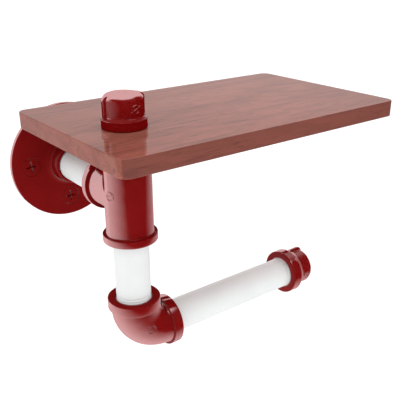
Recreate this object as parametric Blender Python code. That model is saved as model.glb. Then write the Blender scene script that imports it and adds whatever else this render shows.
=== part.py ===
"""Wall-mounted toilet paper holder made of threaded pipe fittings, with a wooden shelf on top.

Metres, +Z up. The wall is the plane y = 0 and the room lies on its -Y side. The origin is the
middle of the wall flange's back, and the roll bar runs along +X.
"""

import math

import bmesh
import bpy
from mathutils import Vector

MM = 0.001

# Half-inch pipe, and the three-eighths riser that carries the shelf
PIPE_R = 10.67 * MM
PIPE_BORE_R = 7.9 * MM
RISER_R = 8.575 * MM
RISER_BORE_R = 6.25 * MM
THREAD_DEPTH = 12.5 * MM  # how far a pipe goes into a fitting
GAP = 0.3 * MM  # between pieces that touch or are screwed together
SOCKET_R = PIPE_R + GAP
RISER_SOCKET_R = RISER_R + GAP
WATERWAY_R = 9.0 * MM  # the narrower passage behind a fitting's threads

# Where the pipes run
REACH = 79.6 * MM  # wall to the upright pipe's axis
DROP = 93.8 * MM  # the flange's middle down to the roll bar's axis
BAR_END = 126.84 * MM  # the end cap's mouth along X

# Segments round each turned piece
STEPS = 40

for old in list(bpy.data.objects):
    bpy.data.objects.remove(old)


def paint(name, colour, roughness, metallic=0.0):
    """A material with one Principled shader; the colour is linear RGB."""
    material = bpy.data.materials.new(name)
    material.use_nodes = True
    shader = material.node_tree.nodes["Principled BSDF"]
    shader.inputs["Base Color"].default_value = (*colour, 1.0)
    shader.inputs["Roughness"].default_value = roughness
    shader.inputs["Metallic"].default_value = metallic
    return material


def place(name, mesh, colour, at=(0.0, 0.0, 0.0), turn=(0.0, 0.0, 0.0)):
    """Puts a mesh in the scene as one sub-part with its own material."""
    piece = bpy.data.objects.new(name, mesh)
    piece.location = at
    piece.rotation_euler = turn
    if colour:
        mesh.materials.append(paint(name + "_finish", *colour))
    bpy.context.collection.objects.link(piece)
    return piece


def arc(centre, radius, start, end, count=5):
    """Points (r, h) on a circle from one angle in degrees to another, 0 pointing outwards."""
    steps = [math.radians(start + (end - start) * i / count) for i in range(count + 1)]
    return [(centre[0] + radius * math.cos(a), centre[1] + radius * math.sin(a)) for a in steps]


def turned(name, profile, colour, at=(0.0, 0.0, 0.0), turn=(0.0, 0.0, 0.0), steps=STEPS):
    """Spins a profile of (r, h) points round the piece's own Z axis.

    A profile with both ends on the axis is left open; any other one is closed into a ring.
    """
    points = [(r, 0.0, h) for r, h in profile]
    edges = [(i, i + 1) for i in range(len(points) - 1)]
    if profile[0][0] > 0.0:
        edges.append((len(points) - 1, 0))
    mesh = bpy.data.meshes.new(name)
    mesh.from_pydata(points, edges, [])
    piece = place(name, mesh, colour, at, turn)
    spin = piece.modifiers.new("spin", "SCREW")
    spin.steps = steps
    spin.render_steps = steps
    spin.use_merge_vertices = True
    spin.merge_threshold = 0.01 * MM
    spin.use_smooth_shade = True
    return piece


def pipe(name, bore, radius, start, end, colour, at, turn):
    """A length of pipe between two heights on its own Z axis, with eased rims."""
    ease = 0.5 * MM
    wall = [
        (radius - ease, end),
        (radius, end - ease),
        (radius, start + ease),
        (radius - ease, start),
        (bore, start),
        (bore, end),
    ]
    return turned(name, wall, colour, at, turn)


def combine(piece, other, operation):
    """Joins or cuts one solid with another, which then no longer shows."""
    other.hide_render = True
    other.display_type = "WIRE"
    change = piece.modifiers.new(other.name, "BOOLEAN")
    change.operation = operation
    change.solver = "EXACT"
    change.object = other


def along_bend(name, stations, reach, bend, colour, at):
    """A round solid that comes down from (0, 0, reach) and bends to leave at (reach, 0, 0).

    Each station is a distance along that path and the solid's radius there.
    """
    straight = reach - bend
    shape = bmesh.new()
    rings = []
    for distance, radius in stations:
        angle = min(max((distance - straight) / bend, 0.0), math.pi / 2)
        before = max(straight - distance, 0.0)
        after = max(distance - straight - bend * math.pi / 2, 0.0)
        middle = Vector(
            (bend - bend * math.cos(angle) + after, 0.0, bend - bend * math.sin(angle) + before)
        )
        across = Vector((-math.cos(angle), 0.0, -math.sin(angle)))
        ring = []
        for i in range(STEPS):
            turn = math.tau * i / STEPS
            side = across * math.cos(turn) + Vector((0.0, math.sin(turn), 0.0))
            ring.append(shape.verts.new(middle + side * radius))
        rings.append(ring)
    for ring, following in zip(rings, rings[1:]):
        for i in range(STEPS):
            j = (i + 1) % STEPS
            shape.faces.new((ring[i], ring[j], following[j], following[i]))
    shape.faces.new(rings[0])
    shape.faces.new(rings[-1])
    bmesh.ops.recalc_face_normals(shape, faces=shape.faces)
    for face in shape.faces:
        face.smooth = len(face.verts) == 4
    mesh = bpy.data.meshes.new(name)
    shape.to_mesh(mesh)
    shape.free()
    return place(name, mesh, colour, at)


def prism(name, outline, start, end, colour, at, turn=(0.0, 0.0, 0.0), spread=1.0):
    """Extrudes an outline of (x, y) points from one height to another, where it is spread wider."""
    shape = bmesh.new()
    low = [shape.verts.new((x, y, start)) for x, y in outline]
    high = [shape.verts.new((x * spread, y * spread, end)) for x, y in outline]
    for i in range(len(outline)):
        j = (i + 1) % len(outline)
        shape.faces.new((low[i], low[j], high[j], high[i]))
    shape.faces.new(low)
    shape.faces.new(high)
    bmesh.ops.recalc_face_normals(shape, faces=shape.faces)
    mesh = bpy.data.meshes.new(name)
    shape.to_mesh(mesh)
    shape.free()
    return place(name, mesh, colour, at, turn)


# Directions for a piece's own Z axis
OUT_OF_WALL = (math.pi / 2, 0.0, 0.0)
ALONG_BAR = (0.0, math.pi / 2, 0.0)
UP = (0.0, 0.0, 0.0)

# Finishes: colour, roughness
RED_PAINT = ((0.18, 0.006, 0.006), 0.38)
WHITE_PAINT = ((0.85, 0.85, 0.86), 0.35)
WALNUT = ((0.32, 0.14, 0.10), 0.4)


# ---- Wall flange: round plate with a threaded hub and four countersunk holes ----

FLANGE_R = 37.9 * MM
PLATE = 3.2 * MM
PLATE_EDGE = 0.9 * MM
HUB_HEIGHT = 14.3 * MM
HUB_R = 12.8 * MM
HUB_LIP = 1.0 * MM
HUB_FILLET = 5.0 * MM
SCREW_CIRCLE_R = 25.0 * MM
SINK_R = 6.1 * MM
SCREW_COUNT = 4

flange_profile = (
    [(SOCKET_R, HUB_HEIGHT)]
    + arc((HUB_R - HUB_LIP, HUB_HEIGHT - HUB_LIP), HUB_LIP, 90, 0, 4)
    + arc((HUB_R + HUB_FILLET, PLATE + HUB_FILLET), HUB_FILLET, 180, 270, 6)
    + arc((FLANGE_R - PLATE_EDGE, PLATE - PLATE_EDGE), PLATE_EDGE, 90, 0, 4)
    + [(FLANGE_R, 0.0), (SOCKET_R, 0.0)]
)
flange = turned("wall_flange", flange_profile, RED_PAINT, turn=OUT_OF_WALL, steps=48)

screw_places = []
for i in range(SCREW_COUNT):
    around = math.tau * i / SCREW_COUNT
    spot = (SCREW_CIRCLE_R * math.cos(around), 0.0, SCREW_CIRCLE_R * math.sin(around))
    screw_places.append(spot)
    over = 1.0 * MM
    sink = [
        (0.0, PLATE + over),
        (SINK_R + over, PLATE + over),
        (SINK_R - PLATE - over, -over),
        (0.0, -over),
    ]
    cutter = turned(f"sink_cutter_{i + 1}", sink, None, spot, OUT_OF_WALL, steps=24)
    combine(flange, cutter, "DIFFERENCE")


# ---- Four flat-headed wood screws with cross recesses, which go on into the wall ----

HEAD_R = 5.75 * MM
HEAD_SUNK = 0.15 * MM
SHANK_R = 2.5 * MM
SHANK_END = 30.0 * MM
RECESS_HALF = 3.25 * MM
RECESS_WIDTH = 0.6 * MM
RECESS_DEPTH = 1.6 * MM

head_top = PLATE - HEAD_SUNK
screw_profile = [
    (0.0, head_top),
    (HEAD_R, head_top),
    (SHANK_R, head_top - HEAD_R + SHANK_R),
    (SHANK_R, -SHANK_END + 5 * MM),
    (0.0, -SHANK_END),
]
quarter = [(RECESS_HALF, RECESS_WIDTH), (RECESS_WIDTH, RECESS_WIDTH), (RECESS_WIDTH, RECESS_HALF)]
cross = []
for i in range(4):
    c, s = round(math.cos(math.pi * i / 2)), round(math.sin(math.pi * i / 2))
    cross += [(x * c - y * s, x * s + y * c) for x, y in quarter]

for i, spot in enumerate(screw_places):
    screw = turned(f"flange_screw_{i + 1}", screw_profile, RED_PAINT, spot, OUT_OF_WALL, steps=24)
    recess = prism(
        f"recess_cutter_{i + 1}",
        [(x * 0.75, y * 0.75) for x, y in cross],
        head_top - RECESS_DEPTH,
        head_top + 0.5 * MM,
        None,
        spot,
        OUT_OF_WALL,
        spread=1 / 0.75,
    )
    combine(screw, recess, "DIFFERENCE")


# ---- Tee: holds the horizontal pipe at its side, the drop pipe below and the shelf's riser above ----

TEE_R = 14.0 * MM
TEE_BRANCH_R = 13.85 * MM
BAND_R = 16.2 * MM
BAND_EDGE = 0.7 * MM
TEE_BAND = 4.5 * MM
TEE_DOWN = 28.7 * MM
TEE_UP = 28.1 * MM
TEE_SIDE = 25.8 * MM
upright = (0.0, -REACH, 0.0)


def band(end, length, body_r):
    """Outer points of a fitting's banded mouth, from its face at height end back to the body."""
    return (
        arc((BAND_R - BAND_EDGE, end - BAND_EDGE), BAND_EDGE, 90, 0, 3)
        + arc((BAND_R - BAND_EDGE, end - length + BAND_EDGE), BAND_EDGE, 0, -90, 3)
        + [(body_r, end - length)]
    )


def mirrored(profile):
    """The same points turned upside down, still running from top to bottom."""
    return [(r, -h) for r, h in reversed(profile)]


def socket_cutter(name, top, bottom, at, turn):
    """What is cut out of a straight fitting: a threaded socket at each end and a passage between."""
    over = 1.0 * MM
    depth = THREAD_DEPTH + GAP
    profile = [
        (0.0, top + over),
        (SOCKET_R, top + over),
        (SOCKET_R, top - depth),
        (WATERWAY_R, top - depth),
        (WATERWAY_R, -bottom + depth),
        (SOCKET_R, -bottom + depth),
        (SOCKET_R, -bottom - over),
        (0.0, -bottom - over),
    ]
    return turned(name, profile, None, at, turn)


run_profile = (
    [(0.0, TEE_UP)] + band(TEE_UP, TEE_BAND, TEE_R) + mirrored(band(TEE_DOWN, TEE_BAND, TEE_R))
)
run_profile += [(0.0, -TEE_DOWN)]
tee = turned("tee", run_profile, RED_PAINT, upright)

branch_profile = [(0.0, TEE_SIDE)] + band(TEE_SIDE, TEE_BAND, TEE_BRANCH_R)
branch_profile += [(TEE_BRANCH_R, 0.0), (0.0, 0.0)]
branch = turned("tee_branch", branch_profile, None, upright, (-math.pi / 2, 0.0, 0.0))
combine(tee, branch, "UNION")
combine(tee, socket_cutter("tee_run_cutter", TEE_UP, TEE_DOWN, upright, UP), "DIFFERENCE")

branch_bore = [
    (0.0, TEE_SIDE + 1 * MM),
    (SOCKET_R, TEE_SIDE + 1 * MM),
    (SOCKET_R, TEE_SIDE - THREAD_DEPTH - GAP),
    (WATERWAY_R - 0.2 * MM, TEE_SIDE - THREAD_DEPTH - GAP),
    (WATERWAY_R - 0.2 * MM, 0.0),
    (0.0, 0.0),
]
branch_cutter = turned("tee_branch_cutter", branch_bore, None, upright, (-math.pi / 2, 0.0, 0.0))
combine(tee, branch_cutter, "DIFFERENCE")


# ---- Pipes: wall to tee, and tee down to the elbow ----

ELBOW_REACH = 26.0 * MM
NIPPLE_START = 1.5 * MM

pipe(
    "wall_nipple",
    PIPE_BORE_R,
    PIPE_R,
    NIPPLE_START,
    REACH - TEE_SIDE + THREAD_DEPTH,
    WHITE_PAINT,
    (0.0, 0.0, 0.0),
    OUT_OF_WALL,
)
pipe(
    "drop_nipple",
    PIPE_BORE_R,
    PIPE_R,
    -DROP + ELBOW_REACH - THREAD_DEPTH,
    -TEE_DOWN + THREAD_DEPTH,
    WHITE_PAINT,
    upright,
    UP,
)


# ---- Shelf: a board clamped between the tee and the top cap, with a hole for the riser ----

SHELF_LEFT = -32.15 * MM
SHELF_LENGTH = 204.4 * MM
SHELF_BACK = 6.9 * MM
SHELF_WIDTH = 123.3 * MM
SHELF_THICK = 10.0 * MM
SHELF_UNDERSIDE = TEE_UP + GAP
SHELF_CORNER = 6.0 * MM
SHELF_EASE = 0.4 * MM
SHELF_HOLE_R = 9.1 * MM
shelf_top = SHELF_UNDERSIDE + SHELF_THICK


def board_outline(inset):
    """The board's rounded rectangle about its own middle, drawn in by inset."""
    half = (SHELF_LENGTH / 2, SHELF_WIDTH / 2)
    points = []
    for i, (sx, sy) in enumerate(((1, 1), (-1, 1), (-1, -1), (1, -1))):
        corner = (sx * (half[0] - SHELF_CORNER), sy * (half[1] - SHELF_CORNER))
        points += arc(corner, SHELF_CORNER - inset, 90 * i, 90 * i + 90, 6)
    return points


board = bmesh.new()
levels = [
    (SHELF_EASE, SHELF_UNDERSIDE),
    (0.0, SHELF_UNDERSIDE + SHELF_EASE),
    (0.0, shelf_top - SHELF_EASE),
    (SHELF_EASE, shelf_top),
]
board_middle = (SHELF_LEFT + SHELF_LENGTH / 2, REACH - SHELF_BACK - SHELF_WIDTH / 2)
board_loops = []
for inset, height in levels:
    outline = board_outline(inset)
    loop = [board.verts.new((x + board_middle[0], y + board_middle[1], height)) for x, y in outline]
    board_loops.append(loop)
for lower, upper in zip(board_loops, board_loops[1:]):
    for i in range(len(lower)):
        j = (i + 1) % len(lower)
        board.faces.new((lower[i], lower[j], upper[j], upper[i]))
board.faces.new(board_loops[0])
board.faces.new(board_loops[-1])
# A seam right of the cap leaves the rest of the top as a clear flat face
bmesh.ops.bisect_plane(
    board,
    geom=board.verts[:] + board.edges[:] + board.faces[:],
    plane_co=(16 * MM, 0.0, 0.0),
    plane_no=(1.0, 0.0, 0.0),
)
bmesh.ops.recalc_face_normals(board, faces=board.faces)
board_mesh = bpy.data.meshes.new("shelf")
board.to_mesh(board_mesh)
board.free()
shelf = place("shelf", board_mesh, WALNUT, upright)

hole = [
    (0.0, shelf_top + 1 * MM),
    (SHELF_HOLE_R, shelf_top + 1 * MM),
    (SHELF_HOLE_R, SHELF_UNDERSIDE - 1 * MM),
    (0.0, SHELF_UNDERSIDE - 1 * MM),
]
combine(shelf, turned("shelf_hole_cutter", hole, None, upright), "DIFFERENCE")


# ---- Reducing bushing in the tee's top, and the riser that goes up through the shelf ----

BUSHING_LENGTH = 12.0 * MM
CAP_MOUTH = shelf_top + GAP
CAP_DEPTH = 11.0 * MM

bushing_profile = [
    (PIPE_R, TEE_UP),
    (PIPE_R, TEE_UP - BUSHING_LENGTH),
    (RISER_SOCKET_R, TEE_UP - BUSHING_LENGTH),
    (RISER_SOCKET_R, TEE_UP),
]
turned("reducing_bushing", bushing_profile, RED_PAINT, upright)
pipe(
    "shelf_nipple",
    RISER_BORE_R,
    RISER_R,
    TEE_UP - BUSHING_LENGTH + 1 * MM,
    CAP_MOUTH + CAP_DEPTH - 1 * MM,
    WHITE_PAINT,
    upright,
    UP,
)


# ---- Pipe caps: a banded mouth, a narrower body with a rounded end, and two lugs to turn it by ----


def cap_profile(mouth_r, band_end, body_start, body_r, length, round_r, socket_r, depth):
    """Half section from the crown down the outside to the mouth and up the socket."""
    ease = 0.7 * MM
    bead = 0.5 * MM
    return (
        [(0.0, length)]
        + arc((body_r - round_r, length - 0.3 * MM - round_r), round_r, 90, 0, 6)
        + [(body_r, body_start)]
        + [(mouth_r - 1.6 * bead, band_end + 2 * bead)]
        + arc((mouth_r - bead, band_end), bead, 90, 0, 3)
        + [(mouth_r, ease), (mouth_r - ease, 0.0), (socket_r, 0.0), (socket_r, depth), (0.0, depth)]
    )


def add_lugs(cap, body_r, depth, width, reach, low, high, round_r, turn):
    """Two opposite ribs along the cap's body, standing out to the given reach."""
    root = body_r - 0.8 * MM
    core = reach * 0.5
    shoulder = depth + 1.5 * MM
    for i, side in enumerate((1, -1)):
        section = [
            (root, low),
            (reach, low),
            (reach, high - round_r),
            (reach - round_r * 0.4, high - round_r * 0.35),
            (reach - round_r, high),
            (core, high),
            (core, shoulder),
            (root, shoulder),
        ]
        outline = [(side * r, -h) for r, h in section]
        lug = prism(f"{cap.name}_lug_{i + 1}", outline, -width / 2, width / 2, None, (0.0, 0.0, 0.0))
        # The section is drawn flat, then stood up along the cap's axis and turned round it
        lug.parent = cap
        lug.rotation_euler = (-math.pi / 2, 0.0, turn)
        combine(cap, lug, "UNION")


top_cap = turned(
    "top_cap",
    cap_profile(
        12.8 * MM, 4.7 * MM, 6.9 * MM, 11.1 * MM, 18.6 * MM, 3.6 * MM, RISER_SOCKET_R, CAP_DEPTH
    ),
    RED_PAINT,
    (0.0, -REACH, CAP_MOUTH),
)
add_lugs(
    top_cap, 11.1 * MM, CAP_DEPTH, 4.0 * MM, 12.4 * MM, 5.3 * MM, 17.5 * MM, 3.0 * MM, math.radians(-5)
)


# ---- Elbow: turns the drop pipe's end towards the roll bar ----

ELBOW_BAND = 6.5 * MM
ELBOW_R = 14.3 * MM
ELBOW_BEND = ELBOW_REACH - ELBOW_BAND
BEND_STEPS = 9

elbow_centre = (0.0, -REACH, -DROP)
elbow_length = 2 * ELBOW_BAND + ELBOW_BEND * math.pi / 2
band_end = [
    (0.0, BAND_R - BAND_EDGE),
    (BAND_EDGE * 0.3, BAND_R - BAND_EDGE * 0.3),
    (BAND_EDGE, BAND_R),
    (ELBOW_BAND - BAND_EDGE, BAND_R),
    (ELBOW_BAND - BAND_EDGE * 0.2, BAND_R - BAND_EDGE * 0.6),
    (ELBOW_BAND, ELBOW_R),
]
elbow_stations = list(band_end)
for i in range(1, BEND_STEPS):
    travelled = ELBOW_BEND * math.pi / 2 * i / BEND_STEPS
    elbow_stations.append((ELBOW_BAND + travelled, ELBOW_R))
elbow_stations += [(elbow_length - d, r) for d, r in reversed(band_end)]
elbow = along_bend(
    "elbow", elbow_stations, ELBOW_REACH, ELBOW_BEND, RED_PAINT, elbow_centre
)

socket_end = THREAD_DEPTH + GAP
passage_bend = ELBOW_REACH - socket_end
passage_end = 2 * socket_end + passage_bend * math.pi / 2
passage = [(-1 * MM, SOCKET_R), (socket_end - 0.01 * MM, SOCKET_R), (socket_end, WATERWAY_R)]
for i in range(1, BEND_STEPS):
    travelled = passage_bend * math.pi / 2 * i / BEND_STEPS
    passage.append((socket_end + travelled, WATERWAY_R))
passage += [(passage_end - d, r) for d, r in reversed(passage[:3])]
elbow_cutter = along_bend(
    "elbow_cutter", passage, ELBOW_REACH, passage_bend, None, elbow_centre
)
combine(elbow, elbow_cutter, "DIFFERENCE")


# ---- Roll bar, with its end cap ----

END_CAP_DEPTH = 12.0 * MM

pipe(
    "roll_bar",
    PIPE_BORE_R,
    PIPE_R,
    ELBOW_REACH - THREAD_DEPTH,
    BAR_END + END_CAP_DEPTH - 1 * MM,
    WHITE_PAINT,
    elbow_centre,
    ALONG_BAR,
)
end_cap = turned(
    "end_cap",
    cap_profile(
        15.9 * MM, 6.2 * MM, 12.7 * MM, 12.7 * MM, 22.0 * MM, 3.5 * MM, SOCKET_R, END_CAP_DEPTH
    ),
    RED_PAINT,
    (BAR_END, -REACH, -DROP),
    ALONG_BAR,
)
add_lugs(
    end_cap, 12.7 * MM, END_CAP_DEPTH, 3.5 * MM, 14.6 * MM, 6.5 * MM, 20.9 * MM, 3.0 * MM, math.radians(171)
)
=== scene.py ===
import math

import bmesh
import bpy
from mathutils import Matrix, Vector, noise


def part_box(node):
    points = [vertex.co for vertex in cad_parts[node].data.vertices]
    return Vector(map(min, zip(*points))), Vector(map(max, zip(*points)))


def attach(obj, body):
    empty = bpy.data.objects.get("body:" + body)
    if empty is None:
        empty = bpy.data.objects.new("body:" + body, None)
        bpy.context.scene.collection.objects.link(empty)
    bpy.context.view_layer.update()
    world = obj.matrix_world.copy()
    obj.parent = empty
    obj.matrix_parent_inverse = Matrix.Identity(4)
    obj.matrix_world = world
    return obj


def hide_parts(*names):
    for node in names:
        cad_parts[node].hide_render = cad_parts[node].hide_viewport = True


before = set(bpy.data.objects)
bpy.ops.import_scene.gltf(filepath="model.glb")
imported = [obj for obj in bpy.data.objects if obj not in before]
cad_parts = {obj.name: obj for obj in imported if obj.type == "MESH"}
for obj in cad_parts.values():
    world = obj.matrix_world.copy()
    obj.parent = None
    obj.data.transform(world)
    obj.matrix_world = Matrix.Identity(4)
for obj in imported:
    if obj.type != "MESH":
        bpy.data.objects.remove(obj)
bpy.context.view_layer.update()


# ---- Wall flange ----
# A malleable iron floor flange: a round plate with a threaded hub cast on its middle and four
# countersunk screw holes. It is cast, faced at the hub and painted red over the casting's skin.

MM = 0.001
OUT_OF_WALL = Matrix.Rotation(math.pi / 2, 4, "X")

flange_low, flange_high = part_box("wall_flange")
FLANGE_R = (flange_high.x - flange_low.x) / 2
HUB_HEIGHT = -flange_low.y
PLATE = 3.2 * MM
HUB_R = 12.8 * MM
SCREW_CIRCLE_R = 25.0 * MM
SCREW_COUNT = 4
SINK_R = 6.05 * MM
PIPE_R = (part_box("wall_nipple")[1].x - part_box("wall_nipple")[0].x) / 2
THREAD_SLACK = 0.04 * MM

RED = (0.395, 0.0058, 0.0062, 1.0)
DEEP_RED = (0.365, 0.0044, 0.0048, 1.0)
MATT_RED = (0.213, 0.0072, 0.0074, 1.0)
DEEP_MATT_RED = (0.198, 0.0066, 0.0068, 1.0)


class Field:
    """A value that varies over a surface: wraps a socket, and arithmetic on it adds Math nodes."""

    def __init__(self, finish, socket):
        self.finish = finish
        self.socket = socket

    def maths(self, operation, first, second):
        return self.finish.node("ShaderNodeMath", {"operation": operation}, {0: first, 1: second})

    def __add__(self, other):
        return self.maths("ADD", self, other)

    def __sub__(self, other):
        return self.maths("SUBTRACT", self, other)

    def __mul__(self, other):
        return self.maths("MULTIPLY", self, other)

    def __radd__(self, other):
        return self.maths("ADD", other, self)

    def __rsub__(self, other):
        return self.maths("SUBTRACT", other, self)

    def __rmul__(self, other):
        return self.maths("MULTIPLY", other, self)


class Finish:
    """One paint, lacquer or light being mixed up out of shader nodes."""

    def __init__(self, owner):
        owner.use_nodes = True
        self.tree = owner.node_tree
        self.owner = owner

    def node(self, kind, settings, sockets, output=0):
        """Adds a node: its settings first, then its sockets' values or links. Gives one output."""
        made = self.tree.nodes.new(kind)
        for name, value in settings.items():
            setattr(made, name, value)
        for name, value in sockets.items():
            self.feed(self.socket(made.inputs, name), value)
        return Field(self, self.socket(made.outputs, output))

    def socket(self, sockets, name):
        """Finds a socket by its number, or by the name that it has in the node's present mode."""
        if isinstance(name, int):
            return sockets[name]
        return next(s for s in sockets if s.enabled and name in (s.name, s.identifier))

    def feed(self, socket, value):
        """Links a varying value to a socket, or sets a constant on it."""
        if isinstance(value, Field):
            self.tree.links.new(value.socket, socket)
        else:
            socket.default_value = value

    def shader(self, sockets):
        """Sets or links sockets of the surface's Principled shader."""
        principled = self.tree.nodes["Principled BSDF"]
        for name, value in sockets.items():
            self.feed(principled.inputs[name], value)

    def place(self):
        """Where a point lies on the object at rest."""
        return self.node("ShaderNodeTexCoord", {}, {}, "Object")

    def noise(self, at, scale, detail=3.0, roughness=0.55, distortion=0.0, output=0):
        """Cloudy noise. A larger scale makes smaller clouds, and detail adds finer ones."""
        sockets = {
            "Vector": at,
            "Scale": scale,
            "Detail": detail,
            "Roughness": roughness,
            "Distortion": distortion,
        }
        return self.node("ShaderNodeTexNoise", {}, sockets, output)

    def stretch(self, at, scale):
        """Places scaled by an amount along each axis, so that a pattern on them is drawn out."""
        return self.node("ShaderNodeVectorMath", {"operation": "MULTIPLY"}, {0: at, 1: scale})

    def ramp(self, amount, low, high):
        """0 below low, 1 above high, and a smooth step between."""
        settings = {"interpolation_type": "SMOOTHSTEP"}
        return self.node(
            "ShaderNodeMapRange", settings, {"Value": amount, "From Min": low, "From Max": high}
        )

    def blend(self, amount, first, second):
        """The first colour where amount is 0, the second where it is 1."""
        sockets = {"Factor_Float": amount, "A_Color": first, "B_Color": second}
        return self.node("ShaderNodeMix", {"data_type": "RGBA"}, sockets, "Result_Color")

    def bump(self, height, strength, distance):
        """A finish too shallow to model, such as orange peel, as a tilt of the surface."""
        sockets = {"Height": height, "Strength": strength, "Distance": distance}
        return self.node("ShaderNodeBump", {}, sockets)


def red_paint(name, gloss, deep, bright):
    """Red paint over the skin of a sand casting: a fine grain, softened by the paint."""
    finish = Finish(bpy.data.materials.new(name))
    at = finish.place()
    cloud = finish.noise(at, 70.0)
    grain = finish.noise(at, 620.0, 4.0, 0.6)
    peel = finish.noise(at, 1500.0, 2.0)
    finish.shader(
        {
            "Base Color": finish.blend(finish.ramp(cloud, 0.35, 0.65), deep, bright),
            "Roughness": 0.07 + grain * 0.07 - peel * 0.02,
            "Normal": finish.bump(grain + peel * 0.35, 0.14, 0.10 * MM),
            "IOR": 5.3,
            "Specular IOR Level": gloss,
            "Specular Tint": (1.0, 0.75, 0.75, 1.0),
        }
    )
    return finish.owner


def bow(centre, radius, start, end, count=6):
    """Points (r, h) on a circular arc, in degrees with 0 pointing away from the axis."""
    turns = [math.radians(start + (end - start) * i / count) for i in range(count + 1)]
    return [(centre[0] + radius * math.cos(a), centre[1] + radius * math.sin(a)) for a in turns]


def ring(radius, height, count):
    """One level circle of points, or a single point on the axis."""
    if radius == 0:
        return [Vector((0.0, 0.0, height))]
    turns = [math.tau * i / count for i in range(count)]
    return [Vector((radius * math.cos(a), radius * math.sin(a), height)) for a in turns]


def skin(shape, rings):
    """Faces between each ring of points and the next. A ring of one point closes to it."""
    loops = [[shape.verts.new(point) for point in points] for points in rings]
    for low, high in zip(loops, loops[1:]):
        count = max(len(low), len(high))
        for i in range(count):
            j = (i + 1) % count
            if len(low) == 1:
                shape.faces.new((low[0], high[i], high[j]))
            elif len(high) == 1:
                shape.faces.new((low[i], low[j], high[0]))
            else:
                shape.faces.new((low[i], low[j], high[j], high[i]))


def spun(profile, count=128):
    """A solid turned from a profile of (r, h) points that starts and ends on the axis."""
    shape = bmesh.new()
    skin(shape, [ring(radius, height, count) for radius, height in profile])
    return shape


def cast(shape, depth=0.06 * MM):
    """Gives a mesh the slightly uneven skin that a sand mould leaves."""
    shape.normal_update()
    for vert in shape.verts:
        swell = noise.noise(vert.co / (7 * MM)) + 0.5 * noise.noise(vert.co / (2.6 * MM))
        vert.co += vert.normal * swell * depth


def shade(shape, sharp=40, flat=80 * MM * MM):
    """Turns the faces outwards and shades them smooth, but for sharp edges and large flat faces."""
    bmesh.ops.recalc_face_normals(shape, faces=shape.faces)
    for face in shape.faces:
        face.smooth = face.calc_area() < flat
    for edge in shape.edges:
        if len(edge.link_faces) == 2:
            edge.smooth = edge.calc_face_angle() < math.radians(sharp)


def second_material(shape, axis, start, end, square=True):
    """Gives a piece's faces between two distances along an axis its second material: the ones that
    are square to the axis, or else the ones that aren't. On the castings that is the matt red; on
    the shelf it is the wood darkened as painted shade for the board's front face."""
    shape.normal_update()
    for face in shape.faces:
        if start < face.calc_center_median().dot(axis) < end:
            if (abs(face.normal.dot(axis)) > 0.6) == square:
                face.material_index = 1


def piece(name, shape, materials, body, place=Matrix.Identity(4)):
    """Makes a finished piece of a mesh. It stands for the CAD node of the same name."""
    shade(shape)
    mesh = bpy.data.meshes.new(name)
    shape.to_mesh(mesh)
    shape.free()
    mesh.transform(place)
    for material in materials:
        mesh.materials.append(material)
    made = bpy.data.objects.new(name + "_made", mesh)
    bpy.context.scene.collection.objects.link(made)
    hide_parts(name)
    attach(made, body)
    made.visible_glossy = name == "top_cap"
    return made


def hollow(made, cutter):
    """Cuts one solid out of a finished piece for good."""
    change = made.modifiers.new("cutter", "BOOLEAN")
    change.operation = "DIFFERENCE"
    change.solver = "EXACT"
    change.object = cutter
    shape = bmesh.new()
    shape.from_object(made, bpy.context.evaluated_depsgraph_get())
    shade(shape)
    made.modifiers.clear()
    shape.to_mesh(made.data)
    shape.free()
    bpy.data.objects.remove(cutter)


def cutter_of(shape, place):
    """A loose solid for hollow() to use up."""
    bmesh.ops.recalc_face_normals(shape, faces=shape.faces)
    for face in shape.faces:
        face.smooth = True
    mesh = bpy.data.meshes.new("cutter")
    shape.to_mesh(mesh)
    shape.free()
    mesh.transform(place)
    made = bpy.data.objects.new("cutter", mesh)
    bpy.context.scene.collection.objects.link(made)
    return made


red = [
    red_paint("satin_red_paint", 0.5, DEEP_RED, RED),
    red_paint("matt_red_paint", 0.01, DEEP_MATT_RED, MATT_RED),
]

flange_outline = (
    [(0.0, 1.2 * MM), (PIPE_R - 1.2 * MM, 1.2 * MM)]
    + [(PIPE_R + THREAD_SLACK, 1.2 * MM), (PIPE_R + THREAD_SLACK, HUB_HEIGHT - 0.5 * MM)]
    + [(PIPE_R + 0.4 * MM, HUB_HEIGHT)]
    + bow((HUB_R - 1.2 * MM, HUB_HEIGHT - 1.0 * MM), 1.0 * MM, 90, 10)
    + [(HUB_R, HUB_HEIGHT - 2.5 * MM), (HUB_R + 0.15 * MM, HUB_HEIGHT - 5 * MM)]
    + bow((HUB_R + 4.4 * MM, PLATE + 4.2 * MM), 4.2 * MM, 180, 262, 10)
    + [(HUB_R + 8 * MM, PLATE + 0.02 * MM), (HUB_R + 14 * MM, PLATE), (FLANGE_R - 3 * MM, PLATE)]
    + bow((FLANGE_R - 0.6 * MM, PLATE - 0.6 * MM), 0.6 * MM, 90, 0)
    + [(FLANGE_R, PLATE - 0.7 * MM), (FLANGE_R, 0.4 * MM), (FLANGE_R, 0.3 * MM)]
    + [(FLANGE_R - 0.3 * MM, 0.0), (PIPE_R + 0.6 * MM, 0.0)]
    + [(PIPE_R - 0.2 * MM, 0.6 * MM), (0.0, 0.6 * MM)]
)
flange_shape = spun(flange_outline, 160)
second_material(flange_shape, Vector((0.0, 0.0, 1.0)), 0.0, PLATE, square=False)
flange = piece("wall_flange", flange_shape, [red[1], red[0]], "wall_mount", OUT_OF_WALL)

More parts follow.
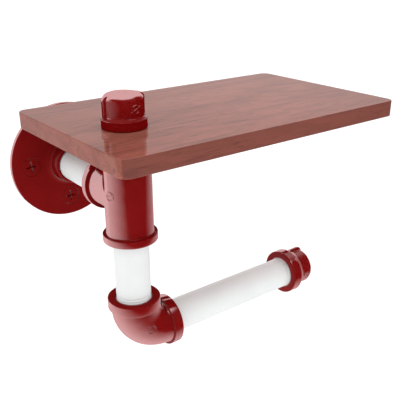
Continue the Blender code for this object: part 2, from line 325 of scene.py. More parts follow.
screw_places = []
for i in range(SCREW_COUNT):
    turn = math.tau * i / SCREW_COUNT
    spot = Vector((SCREW_CIRCLE_R * math.cos(turn), 0.0, SCREW_CIRCLE_R * math.sin(turn)))
    screw_places.append(Matrix.Translation(spot) @ OUT_OF_WALL)
    sink = [(0.0, PLATE + 1 * MM), (SINK_R, PLATE + 1 * MM), (SINK_R, PLATE - 0.25 * MM)]
    sink += [(SINK_R - PLATE, 0.0), (SINK_R - PLATE, -1 * MM), (0.0, -1 * MM)]
    hollow(flange, cutter_of(spun(sink, 64), screw_places[i]))


# ---- Flange screws ----
# Four flat-headed wood screws with cross recesses, driven flush and painted over with the flange.
# Each shank has a rolled thread that runs on into the wall.

HEAD_R = 5.8 * MM
HEAD_SUNK = 0.12 * MM
SHANK_R = 2.5 * MM
SHANK_CORE_R = 1.75 * MM
SHANK_PITCH = 2.1 * MM
SHANK_POINT = 5.0 * MM
RECESS_HALF = 3.9 * MM
RECESS_WIDTH = 0.62 * MM
RECESS_DEPTH = 1.7 * MM
shank_end = -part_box("flange_screw_1")[1].y


def screw_shape():
    """A screw about its own Z axis, head up, with a helical thread below the wall's surface."""
    top = PLATE - HEAD_SUNK
    neck = top - HEAD_R + SHANK_R
    rings = [ring(r, h, 48) for r, h in [(0.0, top), (HEAD_R - 0.2 * MM, top)]]
    rim = bow((HEAD_R - 0.2 * MM, top - 0.2 * MM), 0.2 * MM, 60, -30, 3)
    rings += [ring(r, h, 48) for r, h in rim]
    rings.append(ring(SHANK_R, neck, 48))
    steps = 120
    for i in range(steps):
        height = neck - 3 * MM + (shank_end - neck + 3 * MM) * i / steps
        point = min(1.0, (height - shank_end) / SHANK_POINT)
        points = ring(1.0, height, 48)
        for k, spot in enumerate(points):
            turns = (height / SHANK_PITCH - k / 48) % 1.0
            crest = max(0.0, 1 - abs(2 * turns - 1) * 2.2)
            radius = (SHANK_CORE_R + (SHANK_R - SHANK_CORE_R) * crest) * point
            spot.x *= radius
            spot.y *= radius
        rings.append(points)
    rings.append(ring(0.0, shank_end, 48))
    shape = bmesh.new()
    skin(shape, rings)
    return shape


def recess_cutter(place):
    """The tapered cross that a driver fits."""
    arms = [(RECESS_HALF, RECESS_WIDTH), (RECESS_WIDTH, RECESS_WIDTH), (RECESS_WIDTH, RECESS_HALF)]
    outline = []
    for i in range(4):
        quarter = Matrix.Rotation(math.pi / 2 * i, 4, "Z")
        outline += [quarter @ Vector((x, y, 0.0)) for x, y in arms]
    shape = bmesh.new()
    levels = [(PLATE - RECESS_DEPTH, 0.55), (PLATE + 0.3 * MM, 1.06)]
    rings = []
    for height, spread in levels:
        rings.append([Vector((p.x * spread, p.y * spread, height)) for p in outline])
    skin(shape, [[Vector((0.0, 0.0, levels[0][0]))]] + rings + [[Vector((0.0, 0.0, levels[1][0]))]])
    return cutter_of(shape, place)


for i, place in enumerate(screw_places):
    screw = piece(f"flange_screw_{i + 1}", screw_shape(), [red[1]], "wall_mount", place)
    hollow(screw, recess_cutter(place @ Matrix.Rotation(math.radians(4), 4, "Z")))


# ---- Wall nipple ----
# Half-inch steel pipe, threaded at both ends and painted satin white, screwed into the flange's hub.
# The last turn of each thread runs out just outside the fitting and shows under the paint.

PITCH = 1.814 * MM
THREAD_DEPTH = 1.15 * MM
THREAD_FADE = 2.2
RUN_OUT = 0.38
ROW = 0.28 * MM
AROUND = 96
WHITE = (0.87, 0.89, 0.89, 1.0)
GREYER = (0.84, 0.86, 0.86, 1.0)


def white_paint():
    """Satin white paint, sprayed: almost even, with the faint ripple of orange peel."""
    finish = Finish(bpy.data.materials.new("satin_white_paint"))
    at = finish.place()
    cloud = finish.noise(at, 55.0)
    peel = finish.noise(at, 900.0, 3.0, 0.5)
    finish.shader(
        {
            "Base Color": finish.blend(finish.ramp(cloud, 0.3, 0.7), GREYER, WHITE),
            "Roughness": 0.30 + peel * 0.10,
            "Normal": finish.bump(peel, 0.12, 0.10 * MM),
            "IOR": 1.45,
        }
    )
    return finish.owner


def thread_groove(height, turn, pitch, first_root, run_out):
    """How deep the groove is at a height above the pipe's end, as a share of a full thread.

    The groove's middle climbs one pitch a turn, and the last of it ends at run_out.
    """
    phase = (height - first_root) / pitch - turn
    off = phase - round(phase)
    middle = height - off * pitch
    left = (run_out - middle) / pitch
    if left < 0:
        return 0.0
    full = min(1.0, RUN_OUT + (1 - RUN_OUT) * left / THREAD_FADE) * min(1.0, left / 0.06)
    return full * max(0.0, 1 - abs(off) * 2.25)


def pipe_shape(start, end, radius, bore, pitch, run_outs, twists):
    """A pipe on the Z axis. run_outs say how far from each end its thread goes, and twists where
    round the pipe each thread's last turn ends."""
    edge = 0.45 * MM
    heights = [start + edge * 0.3, start + edge]
    reach = run_outs[0] + pitch
    while heights[-1] < start + reach:
        heights.append(heights[-1] + ROW)
    rest = end - edge - run_outs[1] - pitch
    plain = 10
    heights += [heights[-1] + (rest - heights[-1]) * i / plain for i in range(1, plain + 1)]
    while heights[-1] < end - edge - ROW:
        heights.append(heights[-1] + ROW)
    heights += [end - edge, end - edge * 0.3]
    rings = []
    for height in heights:
        points = ring(1.0, height, AROUND)
        low, high = height - start, end - height
        bevel = max(0.0, edge - min(low, high)) * 0.9
        for k, spot in enumerate(points):
            turn = k / AROUND
            cut = thread_groove(low, turn + twists[0], pitch, 0.0, run_outs[0])
            cut += thread_groove(high, twists[1] - turn, pitch, 0.0, run_outs[1])
            taper = max(0.0, run_outs[0] - low, run_outs[1] - high) / 32
            here = radius - THREAD_DEPTH * cut * min(1.0, pitch / PITCH) - taper - bevel
            spot.x *= here
            spot.y *= here
        rings.append(points)
    mouth = radius - 0.9 * MM
    first = [(bore, start + edge), (bore + 0.1 * MM, start), (mouth, start)]
    last = [(mouth, end), (bore + 0.1 * MM, end), (bore, end - edge)]
    rings = [ring(r, h, AROUND) for r, h in first] + rings + [ring(r, h, AROUND) for r, h in last]
    rings.append(rings[0])
    shape = bmesh.new()
    skin(shape, rings)
    bmesh.ops.remove_doubles(shape, verts=shape.verts, dist=0.001 * MM)
    return shape


white = [white_paint()]
PIPE_BORE_R = 7.9 * MM
tee_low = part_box("tee")[0]
TEE_SIDE = 25.8 * MM
REACH = -(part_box("drop_nipple")[0].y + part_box("drop_nipple")[1].y) / 2
nipple_low, nipple_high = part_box("wall_nipple")
HUB_GRIP = HUB_HEIGHT + nipple_high.y
nipple_shape = pipe_shape(
    -nipple_high.y,
    -nipple_low.y,
    PIPE_R,
    PIPE_BORE_R,
    PITCH,
    (HUB_GRIP + 1.2 * MM, -nipple_low.y - REACH + TEE_SIDE + 1.5 * MM),
    (0.35, 0.2),
)
piece("wall_nipple", nipple_shape, white, "wall_mount", OUT_OF_WALL)


# ---- Tee ----
# A malleable iron tee, cast in one with a reinforcing band round each of its three mouths, then
# bored and tapped. Its branch takes the wall nipple, and a small fillet runs where branch meets run.

TEE_R = 14.0 * MM
BRANCH_R = 13.6 * MM
FILLET = 2.0 * MM
BAND_R = 16.2 * MM
TEE_BAND = 4.5 * MM
SOCKET_R = PIPE_R + THREAD_SLACK
SOCKET_DEPTH = 12.7 * MM
ACROSS = 76
BESIDE = 24
UPRIGHT = Matrix.Translation((0.0, -REACH, 0.0))
TOUCH = 0.02 * MM
shelf_low, shelf_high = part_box("shelf")


def mouth(body_r, band_r, length, socket_r, face, depth):
    """Outline (r, h) of a banded mouth: up the body, over the band, across the face and inside."""
    root = 0.5 * MM
    return (
        [(body_r, face - length - root), (body_r + 0.12 * MM, face - length - 0.2 * MM)]
        + [(body_r + 0.45 * MM, face - length)]
        + bow((band_r - 0.4 * MM, face - length + 0.4 * MM), 0.4 * MM, -90, 0, 5)
        + bow((band_r - 0.5 * MM, face - 0.5 * MM), 0.5 * MM, 0, 90, 5)
        + [(socket_r + 0.9 * MM, face), (socket_r + 0.5 * MM, face - 0.15 * MM)]
        + [(socket_r, face - 0.7 * MM), (socket_r, face - depth), (0.0, face - depth)]
    )


def raised_mark(centre, across, up, out, size):
    """A foundry's plain casting mark, a ring with a bar through it, as lines raised on the surface.

    out takes a point near the surface to the point on it and the direction away from it.
    """
    shape = bmesh.new()
    section = [(-0.44, -0.3), (-0.38, 0.3), (-0.28, 0.42), (0.0, 0.46)]
    section += [(-x, y) for x, y in reversed(section[:3])]
    turns = [math.tau * i / 28 for i in range(28)]
    lines = [
        [(size * math.cos(a), size * math.sin(a)) for a in turns],
        [(size * (0.3 * i - 1.5) * 0.9, size * (0.3 * i - 1.5) * 0.45) for i in range(11)],
    ]
    for index, line in enumerate(lines):
        spots = [out(centre + across * x + up * y) for x, y in line]
        rings = []
        for i, (spot, away) in enumerate(spots):
            before = spots[i - 1][0] if i or index == 0 else spot
            after = spots[(i + 1) % len(spots)][0] if i + 1 < len(spots) or index == 0 else spot
            side = (after - before).cross(away).normalized()
            width = 0.55 if index and i in (0, len(spots) - 1) else 1.0
            rings.append([spot + (side * x * width + away * y) * MM for x, y in section])
        if index == 0:
            rings.append(rings[0])
        else:
            middles = [spots[0][0], spots[-1][0]]
            rings = [[middles[0]]] + rings + [[middles[1]]]
        skin(shape, rings)
    bmesh.ops.remove_doubles(shape, verts=shape.verts, dist=0.001 * MM)
    return shape


def add_to(shape, other):
    """Adds a second mesh to the first."""
    spare = bpy.data.meshes.new("spare")
    other.to_mesh(spare)
    other.free()
    shape.from_mesh(spare)
    bpy.data.meshes.remove(spare)


def tee_shape(top, bottom):
    """The tee about its centre, with the run along Z and the branch along +Y."""
    shape = bmesh.new()
    seam = TEE_BAND + 0.9 * MM
    high, low = top - seam, bottom - seam
    corner = math.radians(25)
    edge = []
    wide = math.pi - 2 * corner
    for i in range(BESIDE):
        share = i / BESIDE
        edge.append((-corner + 2 * corner * share, math.pi, -low + (high + low) * share))
    for i in range(ACROSS):
        share = i / ACROSS
        edge.append((corner + wide * share, math.pi - math.tau * share, high))
    for i in range(BESIDE):
        share = i / BESIDE
        edge.append((math.pi - corner + 2 * corner * share, -math.pi, high - (high + low) * share))
    for i in range(ACROSS):
        share = i / ACROSS
        edge.append((math.pi + corner + wide * share, -math.pi + math.tau * share, -low))
    spread = 16
    fillet_steps = 7
    reach_steps = 6
    lines = []
    for turn, side, height in edge:
        x = (BRANCH_R + FILLET) * math.cos(turn)
        z = (BRANCH_R + FILLET) * math.sin(turn)
        y = math.sqrt((TEE_R + FILLET) ** 2 - x * x)
        ball = Vector((x, y, z))
        bearing = math.atan2(x, y)
        line = []
        for i in range(spread, 0, -1):
            share = (i / spread) ** 1.4
            a = bearing + (side - bearing) * share
            line.append(Vector((TEE_R * math.sin(a), TEE_R * math.cos(a), z + (height - z) * share)))
        on_run = Vector((x, y, 0.0)) * -1
        on_branch = Vector((x, 0.0, z)) * -1
        for i in range(fillet_steps + 1):
            inward = on_run.normalized().lerp(on_branch.normalized(), i / fillet_steps).normalized()
            line.append(ball + inward * FILLET)
        start = line[-1]
        far = TEE_SIDE - seam
        for i in range(1, reach_steps + 1):
            line.append(Vector((start.x, start.y + (far - start.y) * i / reach_steps, start.z)))
        for r, h in mouth(BRANCH_R, BAND_R, TEE_BAND, SOCKET_R, TEE_SIDE, SOCKET_DEPTH)[:-1]:
            line.append(Vector((r * math.cos(turn), h, r * math.sin(turn))))
        lines.append(line)
    rings = [list(points) for points in zip(*lines)]
    rings.append([Vector((0.0, TEE_SIDE - SOCKET_DEPTH, 0.0))])
    skin(shape, rings)
    for face, way in ((top, 1), (bottom, -1)):
        outline = [(TEE_R, face - seam)]
        outline += mouth(TEE_R, BAND_R, TEE_BAND, SOCKET_R, face, SOCKET_DEPTH)
        levels = []
        for r, h in outline:
            if r == 0:
                levels.append([Vector((0.0, 0.0, way * h))])
                continue
            turns = [math.pi - math.tau * i / ACROSS for i in range(ACROSS)]
            levels.append([Vector((r * math.sin(a), r * math.cos(a), way * h)) for a in turns])
        skin(shape, levels)
    bmesh.ops.remove_doubles(shape, verts=shape.verts, dist=0.002 * MM)
    return shape


def round_axis(radius):
    """For raised_mark on a round body about Z: the nearest point on it, and the way out."""

    def out(point):
        away = Vector((point.x, point.y, 0.0)).normalized()
        return away * radius + Vector((0.0, 0.0, point.z)), away

    return out


def mark_round(radius, bearing, height, size):
    """The casting mark on a round body about Z, at a bearing in degrees from +X."""
    mark_out = Matrix.Rotation(math.radians(bearing), 3, "Z") @ Vector((1.0, 0.0, 0.0))
    up = Vector((0.0, 0.0, 1.0))
    centre = mark_out * radius + up * height
    return raised_mark(centre, up.cross(mark_out), up, round_axis(radius), size)


tee = tee_shape(shelf_low.z - TOUCH, -tee_low.z)
cast(tee)
for axis, face in (((0, 0, 1), shelf_low.z), ((0, 0, -1), -tee_low.z), ((0, 1, 0), TEE_SIDE)):
    second_material(tee, Vector(axis), face - TEE_BAND - 0.3 * MM, face + MM)
add_to(tee, mark_round(TEE_R, -168, 1.5 * MM, 2.6 * MM))
piece("tee", tee, red, "wall_mount", UPRIGHT)


# ---- Reducing bushing and shelf nipple ----
# A flush bushing brings the tee's top mouth down from half-inch to three-eighths pipe. The short
# riser screwed into it goes up through the shelf and takes the top cap, which clamps the board.

RISER_PITCH = 1.411 * MM
RISER_BORE_R = 6.25 * MM
riser_low, riser_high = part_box("shelf_nipple")
RISER_R = (riser_high.x - riser_low.x) / 2
bushing_low, bushing_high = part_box("reducing_bushing")
bushing_outline = [
    (RISER_R + THREAD_SLACK, bushing_low.z + 0.5 * MM),
    (RISER_R + THREAD_SLACK, bushing_high.z - 0.5 * MM),
    (RISER_R + 0.5 * MM, bushing_high.z),
    (PIPE_R - 0.5 * MM, bushing_high.z),
    (PIPE_R, bushing_high.z - 0.5 * MM),
    (PIPE_R - 0.3 * MM, bushing_low.z + 0.5 * MM),
    (PIPE_R - 0.8 * MM, bushing_low.z),
    (RISER_R + 0.5 * MM, bushing_low.z),
    (RISER_R + THREAD_SLACK, bushing_low.z + 0.5 * MM),
]
bushing = spun(bushing_outline, 96)
bmesh.ops.remove_doubles(bushing, verts=bushing.verts, dist=0.001 * MM)
piece("reducing_bushing", bushing, red, "wall_mount", UPRIGHT)

riser_grips = (bushing_high.z - riser_low.z + 1 * MM, riser_high.z - shelf_high.z + 1 * MM)
riser = pipe_shape(
    riser_low.z, riser_high.z, RISER_R, RISER_BORE_R, RISER_PITCH, riser_grips, (0.1, 0.4)
)
piece("shelf_nipple", riser, white, "wall_mount", UPRIGHT)


# ---- Shelf ----
# A solid hardwood board with rounded corners and eased edges, bored for the riser. It is flat-sawn
# along its length, stained reddish brown and lacquered, so its top mirrors the cap a little.

CORNER = 6.0 * MM
EASE = 0.4 * MM
BOARD_HOLE_R = 9.1 * MM

BROWN = (0.268, 0.078, 0.055, 1.0)
PINKISH = (0.372, 0.120, 0.088, 1.0)
# Also the colour that the board's front face is darkened towards, as painted shade.
DARK_STREAK_AND_SHADE = (0.140, 0.048, 0.040, 1.0)
PORE = (0.080, 0.028, 0.023, 1.0)


def board_finish(name, painted_shade):
    """Wood cut from one block: growth rings about a distant heart, streaks and pores along X.
    painted_shade is how far the wood is darkened towards the dark streak colour as painted shade,
    for a face that lies in more shade, such as the board's front."""
    finish = Finish(bpy.data.materials.new(name))
    at = finish.place()
    wander = finish.noise(finish.stretch(at, (7.0, 26.0, 26.0)), 1.0, 3.0, 0.5)
    shift = finish.node(
        "ShaderNodeVectorMath",
        {"operation": "MULTIPLY_ADD"},
        {0: finish.noise(at, 16.0, 3.0, 0.5, output="Color"), 1: (0.0, 0.020, 0.014), 2: at},
    )
    heart = finish.node(
        "ShaderNodeMapping",
        {"vector_type": "TEXTURE"},
        {"Vector": shift, "Location": (0.0, -0.030, -0.055), "Rotation": (0.0, 0.05, 0.03)},
    )
    rings = finish.node(
        "ShaderNodeTexWave",
        {"wave_type": "RINGS", "rings_direction": "X", "wave_profile": "SIN"},
        {
            "Vector": heart,
            "Scale": 38.0,
            "Distortion": 5.0,
            "Detail": 3.0,
            "Detail Scale": 1.3,
            "Detail Roughness": 0.6,
        },
        "Fac",
    )
    streak = finish.noise(finish.stretch(at, (22.0, 250.0, 250.0)), 1.0, 4.0, 0.66, 0.6)
    fine = finish.noise(finish.stretch(at, (60.0, 900.0, 900.0)), 1.0, 2.0, 0.6)
    specks = finish.noise(finish.stretch(at, (95.0, 1500.0, 1500.0)), 1.0, 1.0)
    pores = finish.ramp(specks, 0.63, 0.74)
    tone = finish.blend(finish.ramp(wander, 0.32, 0.68), BROWN, PINKISH)
    tone = finish.blend(finish.ramp(rings, 0.35, 0.95) * 0.22, tone, DARK_STREAK_AND_SHADE)
    tone = finish.blend(finish.ramp(streak, 0.50, 0.74) * 0.85, tone, DARK_STREAK_AND_SHADE)
    tone = finish.blend(finish.ramp(fine, 0.45, 0.8) * 0.40, tone, PINKISH)
    tone = finish.blend(pores * 0.65, tone, PORE)
    # Painted shade: the wood is darkened towards the dark streak colour where a face lies in more
    # shade.
    tone = finish.blend(painted_shade, tone, DARK_STREAK_AND_SHADE)
    finish.shader(
        {
            "Base Color": tone,
            "Roughness": 0.42 + fine * 0.10,
            "Normal": finish.bump(fine * 0.5 - pores, 0.10, 0.05 * MM),
            "Specular IOR Level": 0.0,
            "Coat Weight": 0.55,
            "Coat Roughness": 0.05,
        }
    )
    return finish.owner


def board_shape():
    """The board without its hole: rounded corners, and both faces' edges eased."""
    shape = bmesh.new()
    turns = [math.pi / 2 * i / 5 for i in range(6)]
    levels = [(EASE - EASE * math.cos(a), EASE - EASE * math.sin(a)) for a in turns]
    steps = [(inset, shelf_high.z - drop) for inset, drop in reversed(levels)]
    steps += [(inset, shelf_low.z + drop) for inset, drop in levels]
    middle = (shelf_low + shelf_high) / 2
    half = (shelf_high - shelf_low) / 2
    rings = []
    for inset, height in steps:
        points = []
        for i, (sx, sy) in enumerate(((1, 1), (-1, 1), (-1, -1), (1, -1))):
            corner = (sx * (half.x - CORNER), sy * (half.y - CORNER))
            for x, y in bow(corner, CORNER - inset, 90 * i, 90 * i + 90, 12):
                points.append(Vector((middle.x + x, middle.y + y, height)))
        rings.append(points)
    skin(shape, rings)
    shape.verts.ensure_lookup_table()
    count = len(rings[0])
    shape.faces.new(shape.verts[:count])
    shape.faces.new(shape.verts[-count:])
    return shape


# The second wood is the same wood darkened as painted shade, for the board's front face.
wood = [board_finish("lacquered_wood", 0.0), board_finish("lacquered_wood_painted_shade", 0.6)]
board = board_shape()
# The board's front face gets the darkened wood: painted shade, because that face lies in more shade.
second_material(board, Vector((0.0, 1.0, 0.0)), shelf_low.y - MM, shelf_low.y + 0.5 * CORNER)
shelf = piece("shelf", board, wood, "shelf_board")
bore = [(0.0, shelf_high.z + 1 * MM), (BOARD_HOLE_R, shelf_high.z + 1 * MM)]
bore += [(BOARD_HOLE_R, shelf_low.z - 1 * MM), (0.0, shelf_low.z - 1 * MM)]
hollow(shelf, cutter_of(spun(bore, 64), UPRIGHT))


# ---- Top cap ----
# A malleable iron cap for three-eighths pipe, a size smaller than the other fittings. It has a band
# and bead round its mouth, a rounded crown, and two lugs to turn it by.

CAP_STEPS = 60


def cap_ring(body_r, lug_r, height, lug_half):
    """One level outline of a cap: its round body with two opposite lugs standing out of it."""
    side = [(0.5, 0.0), (0.22, 0.05), (0.06, 0.22), (-0.1, 0.62)]
    side += [(-0.28, 0.88), (-0.6, 0.985), (-1.0, 1.0)]
    points = []
    for way in (1, -1):
        across = [(-(lug_half + s * MM), lift) for s, lift in side]
        across += [(lug_half + s * MM, lift) for s, lift in reversed(side)]
        for x, lift in across:
            inner = math.sqrt(max(body_r ** 2 - x * x, (body_r * 0.2) ** 2))
            outer = max(inner, math.sqrt(max(lug_r ** 2 - x * x, 0.0)))
            x_here = x * min(1.0, body_r / (4 * MM))
            points.append(Vector(((inner + (outer - inner) * lift) * way, x_here * way, height)))
        first = math.atan2(across[-1][0], body_r)
        gap = math.pi - 2 * first
        for i in range(1, CAP_STEPS):
            turn = first + gap * i / CAP_STEPS + (0 if way == 1 else math.pi)
            points.append(Vector((body_r * math.cos(turn), body_r * math.sin(turn), height)))
    return points


def cap_shape(mouth_r, band, neck, body_r, length, crown, socket_r, depth, lug_r, lug_half):
    """A cap on the Z axis with its mouth at 0. neck is where the flare from the band ends, and crown
    the radius that rounds its closed end."""
    shoulder = length - crown * 0.92
    outline = [(0.0, depth, 0.0), (socket_r, depth, 0.0), (socket_r, 0.8 * MM, 0.0)]
    outline += [(socket_r + 0.5 * MM, 0.1 * MM, 0.0), (socket_r + 0.9 * MM, 0.0, 0.0)]
    outline += [(r, h, 0.0) for r, h in bow((mouth_r - 0.9 * MM, 0.9 * MM), 0.9 * MM, -90, 0, 5)]
    outline += [(mouth_r - 0.12 * MM, band * 0.55, 0.0), (mouth_r - 0.1 * MM, band - 1.0 * MM, 0.0)]
    bead = bow((mouth_r - 0.45 * MM, band - 0.25 * MM), 0.5 * MM, -35, 80, 5)
    outline += [(r, h, 0.0) for r, h in bead]
    rise = 10
    for i in range(1, rise + 1):
        share = i / rise
        ease = share * share * (3 - 2 * share)
        height = band + 0.25 * MM + (neck - band - 0.25 * MM) * share
        radius = mouth_r - 0.6 * MM + (body_r - mouth_r + 0.6 * MM) * ease ** 0.8
        outline.append((radius, height, lug_r * min(1.0, 0.2 + 1.2 * share)))
    for i in range(1, 6):
        outline.append((body_r, neck + (shoulder - neck) * i / 5, lug_r))
    for i in range(1, 15):
        turn = math.pi / 2 * i / 14
        radius = body_r - crown + crown * math.cos(turn)
        lug_turn = min(math.pi / 2, turn * 1.08)
        reach = lug_r - (crown + 0.6 * MM) * (1 - math.cos(lug_turn) ** 0.8)
        outline.append((radius, shoulder + crown * 0.92 * math.sin(turn) * 0.97, reach))
    flat = body_r - crown
    for share in (0.75, 0.5, 0.25):
        outline.append((flat * share, length - 0.0276 * crown * share, 0.0))
    rings = []
    for r, h, lug in outline:
        rings.append(cap_ring(r, lug, h, lug_half) if r else [Vector((0.0, 0.0, h))])
    rings.append([Vector((0.0, 0.0, length))])
    shape = bmesh.new()
    skin(shape, rings)
    return shape


cap_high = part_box("top_cap")[1]
cap_bottom = shelf_high.z + TOUCH
CAP_BODY_R = 11.1 * MM
top_cap = cap_shape(
    mouth_r=12.8 * MM,
    band=5.3 * MM,
    neck=6.9 * MM,
    body_r=CAP_BODY_R,
    length=cap_high.z - cap_bottom,
    crown=3.5 * MM,
    socket_r=RISER_R + THREAD_SLACK,
    depth=11.0 * MM,
    lug_r=12.4 * MM,
    lug_half=1.75 * MM,
)
cast(top_cap, 0.09 * MM)
second_material(top_cap, Vector((0.0, 0.0, 1.0)), -1 * MM, 7.1 * MM)
add_to(top_cap, mark_round(CAP_BODY_R, -80, 11.4 * MM, 2.2 * MM))
cap_turn = Matrix.Rotation(math.radians(-5), 4, "Z")
cap_place = Matrix.Translation((0.0, -REACH, cap_bottom)) @ cap_turn
piece("top_cap", top_cap, red, "top_cap", cap_place)


# ---- Drop nipple ----
# The same white half-inch pipe, between the tee and the elbow. It carries the roll bar's arm, which
# turns on its lower thread.

ELBOW_REACH = 26.0 * MM
drop_low, drop_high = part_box("drop_nipple")
elbow_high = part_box("elbow")[1]
drop_grips = (elbow_high.z - drop_low.z + 2.6 * MM, drop_high.z - tee_low.z + 2.0 * MM)
drop = pipe_shape(drop_low.z, drop_high.z, PIPE_R, PIPE_BORE_R, PITCH, drop_grips, (0.42, 0.30))
piece("drop_nipple", drop, white, "wall_mount", UPRIGHT)


# ---- Elbow ----
# A malleable iron 90 degree elbow, banded at both mouths, that turns the drop nipple's line along
# the shelf. Cast, tapped and painted like the tee.

ELBOW_R = 14.3 * MM
ELBOW_BAND = 6.4 * MM
BEND_STEPS = 40
elbow_centre = Vector((0.0, -REACH, elbow_high.z - ELBOW_REACH))
bend_r = ELBOW_REACH - ELBOW_BAND - 0.15 * MM


def elbow_ring(turn, beyond, radius):
    """A ring of points across the elbow: turn from 0 at the top to 90 degrees at the side, and then
    beyond along the straight."""
    way = Vector((math.sin(turn), 0.0, -math.cos(turn)))
    out = Vector((-math.cos(turn), 0.0, -math.sin(turn)))
    middle = Vector((bend_r, 0.0, bend_r)) + out * bend_r + way * beyond
    if radius == 0:
        return [middle]
    turns = [math.tau * i / AROUND for i in range(AROUND)]
    return [middle + (out * math.cos(a) + Vector((0.0, math.sin(a), 0.0))) * radius for a in turns]


def elbow_shape():
    """The elbow about the crossing of its two mouths' axes, one mouth up and one towards +X."""
    outline = mouth(ELBOW_R, BAND_R, ELBOW_BAND, SOCKET_R, ELBOW_REACH, SOCKET_DEPTH)[1:]
    rings = [elbow_ring(0.0, bend_r - h, r) for r, h in reversed(outline)]
    for i in range(1, BEND_STEPS):
        rings.append(elbow_ring(math.pi / 2 * i / BEND_STEPS, 0.0, ELBOW_R))
    rings += [elbow_ring(math.pi / 2, h - bend_r, r) for r, h in outline]
    shape = bmesh.new()
    skin(shape, rings)
    return shape


def on_elbow(point):
    """For raised_mark: the nearest point on the elbow's bend, and the way out."""
    hub = Vector((bend_r, 0.0, bend_r))
    flat = Vector((point.x - hub.x, 0.0, point.z - hub.z)).normalized() * bend_r
    middle = hub + flat
    away = (point - middle).normalized()
    return middle + away * ELBOW_R, away


elbow = elbow_shape()
cast(elbow)
for axis in ((0, 0, 1), (1, 0, 0)):
    second_material(elbow, Vector(axis), ELBOW_REACH - ELBOW_BAND - 0.3 * MM, ELBOW_REACH + MM)
mark_spot, mark_out = on_elbow(Vector((3.0, -14.2, 6.8)) * MM)
mark_across = Vector((0.86, 0.0, -0.5))
mark_across = (mark_across - mark_out * mark_across.dot(mark_out)).normalized()
add_to(elbow, raised_mark(mark_spot, mark_across, mark_out.cross(mark_across), on_elbow, 3.0 * MM))
piece("elbow", elbow, red, "roll_arm", Matrix.Translation(elbow_centre))


# ---- Roll bar ----
# A longer length of the white half-inch pipe, screwed into the elbow. The roll slides on over the
# end cap and hangs on it.

ALONG_BAR = Matrix.Rotation(math.pi / 2, 4, "Y")
bar_low, bar_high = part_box("roll_bar")
end_low, end_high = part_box("end_cap")
bar_grips = (elbow_high.x - bar_low.x + 1.0 * MM, bar_high.x - end_low.x + 2.2 * MM)
bar = pipe_shape(bar_low.x, bar_high.x, PIPE_R, PIPE_BORE_R, PITCH, bar_grips, (0.0, 0.55))
bar_place = Matrix.Translation((0.0, -REACH, elbow_centre.z)) @ ALONG_BAR
piece("roll_bar", bar, white, "roll_arm", bar_place)


# ---- End cap ----
# A half-inch malleable iron cap that closes the bar and keeps the roll on. It has the same band,
# flare, crown and lugs as the smaller one, with a longer flare.

END_BODY_R = 12.7 * MM
end_cap = cap_shape(
    mouth_r=15.9 * MM,
    band=6.8 * MM,
    neck=12.4 * MM,
    body_r=END_BODY_R,
    length=end_high.x - end_low.x,
    crown=3.6 * MM,
    socket_r=SOCKET_R,
    depth=12.0 * MM,
    lug_r=14.6 * MM,
    lug_half=1.5 * MM,
)
cast(end_cap, 0.09 * MM)
second_material(end_cap, Vector((0.0, 0.0, 1.0)), -1 * MM, 0.4 * MM)
add_to(end_cap, mark_round(END_BODY_R, 109, 15.0 * MM, 2.1 * MM))
end_place = (
    Matrix.Translation((end_low.x, -REACH, elbow_centre.z))
    @ ALONG_BAR
    @ Matrix.Rotation(math.radians(171), 4, "Z")
)
piece("end_cap", end_cap, red, "end_cap", end_place)


# ---- Studio ----
# A white floor well below the holder and a plain white surround, with no lamps. Glossy surfaces see
# the surround bright behind, above and below and dark in front, past a few black cards.

FLOOR_DROP = 0.30
FLOOR_HALF = 12.0
AIM = Vector((0.0625, -0.0733, -0.0398))
DISTANCE = 0.410
AZIMUTH = math.radians(-38.1)
ELEVATION = math.radians(24.03)

floor_mesh = bpy.data.meshes.new("floor")
floor_corners = [(-1, -1), (1, -1), (1, 1), (-1, 1)]
floor_points = [(x * FLOOR_HALF, y * FLOOR_HALF, -FLOOR_DROP) for x, y in floor_corners]
floor_mesh.from_pydata(floor_points, [], [(0, 1, 2, 3)])
floor = bpy.data.objects.new("floor", floor_mesh)
bpy.context.scene.collection.objects.link(floor)
floor.visible_glossy = False
floor_paint = Finish(bpy.data.materials.new("white_floor"))
floor_paint.shader(
    {
        "Base Color": (0.9, 0.9, 0.9, 1.0),
        "Roughness": 0.9,
        "Specular IOR Level": 0.0,
        "Emission Color": (1.0, 1.0, 1.0, 1.0),
        "Emission Strength": 0.25,
    }
)
floor_mesh.materials.append(floor_paint.owner)


def flag(name, low, high, cloth):
    """A black card that only reflections see. It keeps the bright surround out of a surface."""
    mesh = bpy.data.meshes.new(name)
    if low[0] == high[0]:
        beside = [(low[0], high[1], low[2]), (low[0], low[1], high[2])]
    else:
        beside = [(high[0], low[1], low[2]), (low[0], high[1], high[2])]
    corners = [low, beside[0], high, beside[1]]
    mesh.from_pydata([Vector(corner) * MM for corner in corners], [], [(0, 1, 2, 3)])
    made = bpy.data.objects.new(name, mesh)
    bpy.context.scene.collection.objects.link(made)
    made.visible_camera = False
    made.visible_diffuse = False
    made.visible_shadow = False
    mesh.materials.append(cloth)


def black_cloth(name, weave):
    """Black cloth. weave is how much of the light it stops."""
    finish = Finish(bpy.data.materials.new(name))
    finish.shader(
        {
            "Base Color": (0.0, 0.0, 0.0, 1.0),
            "Roughness": 1.0,
            "Specular IOR Level": 0.0,
            "Alpha": weave,
        }
    )
    return finish.owner


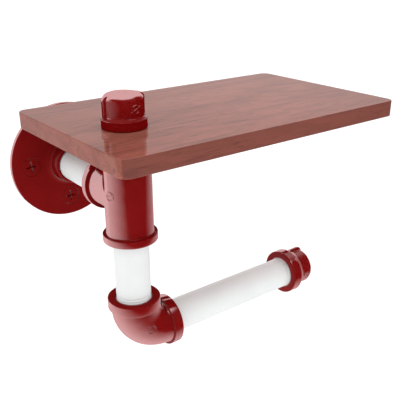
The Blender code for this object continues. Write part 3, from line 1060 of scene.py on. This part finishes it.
black = black_cloth("black_cloth", 1.0)
thin = black_cloth("thin_cloth", 0.75)
flag("back_flag", (-30, 12, -30), (260, 12, 38), black)
flag("shelf_flag", (-42, -130, 38.2), (171, -7, 38.2), black)
flag("left_flag", (-42, -130, 38.2), (-42, -5, 52), thin)
flag("right_flag", (171, -130, 38.2), (340, 80, 38.2), thin)

world = bpy.data.worlds.new("surround")
bpy.context.scene.world = world
air = Finish(world)
way = air.node("ShaderNodeTexCoord", {}, {}, "Generated")
away = Vector(
    (
        math.sin(AZIMUTH) * math.cos(ELEVATION),
        -math.cos(AZIMUTH) * math.cos(ELEVATION),
        math.sin(ELEVATION),
    )
)


def toward(direction):
    """How nearly a ray goes in a direction: 1 straight at it, -1 straight away."""
    return air.node(
        "ShaderNodeVectorMath", {"operation": "DOT_PRODUCT"}, {0: way, 1: direction}, "Value"
    )


def between(amount, least, most):
    """Keeps an amount from going below the least or above the most."""
    above = air.node("ShaderNodeMath", {"operation": "MAXIMUM"}, {0: amount, 1: least})
    return air.node("ShaderNodeMath", {"operation": "MINIMUM"}, {0: above, 1: most})


sweep = between(0.91 * toward((-0.07, 0.62, -0.78)) + 0.09, 0.0, 1.0)
behind = air.ramp(toward((0.1, 0.85, 0.52)), 0.32, 0.68)
zenith = air.ramp(toward((0.0, 0.0, 1.0)), 0.66, 0.95)
gloss = between(sweep + behind + zenith, 0.0, 1.0)
front = between(toward((-0.4, -0.9, -0.1)), 0.0, 1.0)
rays = air.node("ShaderNodeLightPath", {}, {}, "Is Glossy Ray")
strength = rays * gloss + (1 - rays) * (1 + front * 0.12)
air.feed(air.tree.nodes["Background"].inputs["Strength"], strength)
air.feed(air.tree.nodes["Background"].inputs["Color"], (1.0, 1.0, 1.0, 1.0))

camera = bpy.data.cameras.new("camera")
camera.lens = 55.65
camera.sensor_width = 36.0
camera.shift_x = -0.0184
camera.shift_y = 0.0627
viewer = bpy.data.objects.new("camera", camera)
bpy.context.scene.collection.objects.link(viewer)
viewer.location = AIM + away * DISTANCE
viewer.rotation_euler = (-away).to_track_quat("-Z", "Y").to_euler()
bpy.context.scene.camera = viewer
bpy.context.scene.view_settings.view_transform = "Standard"
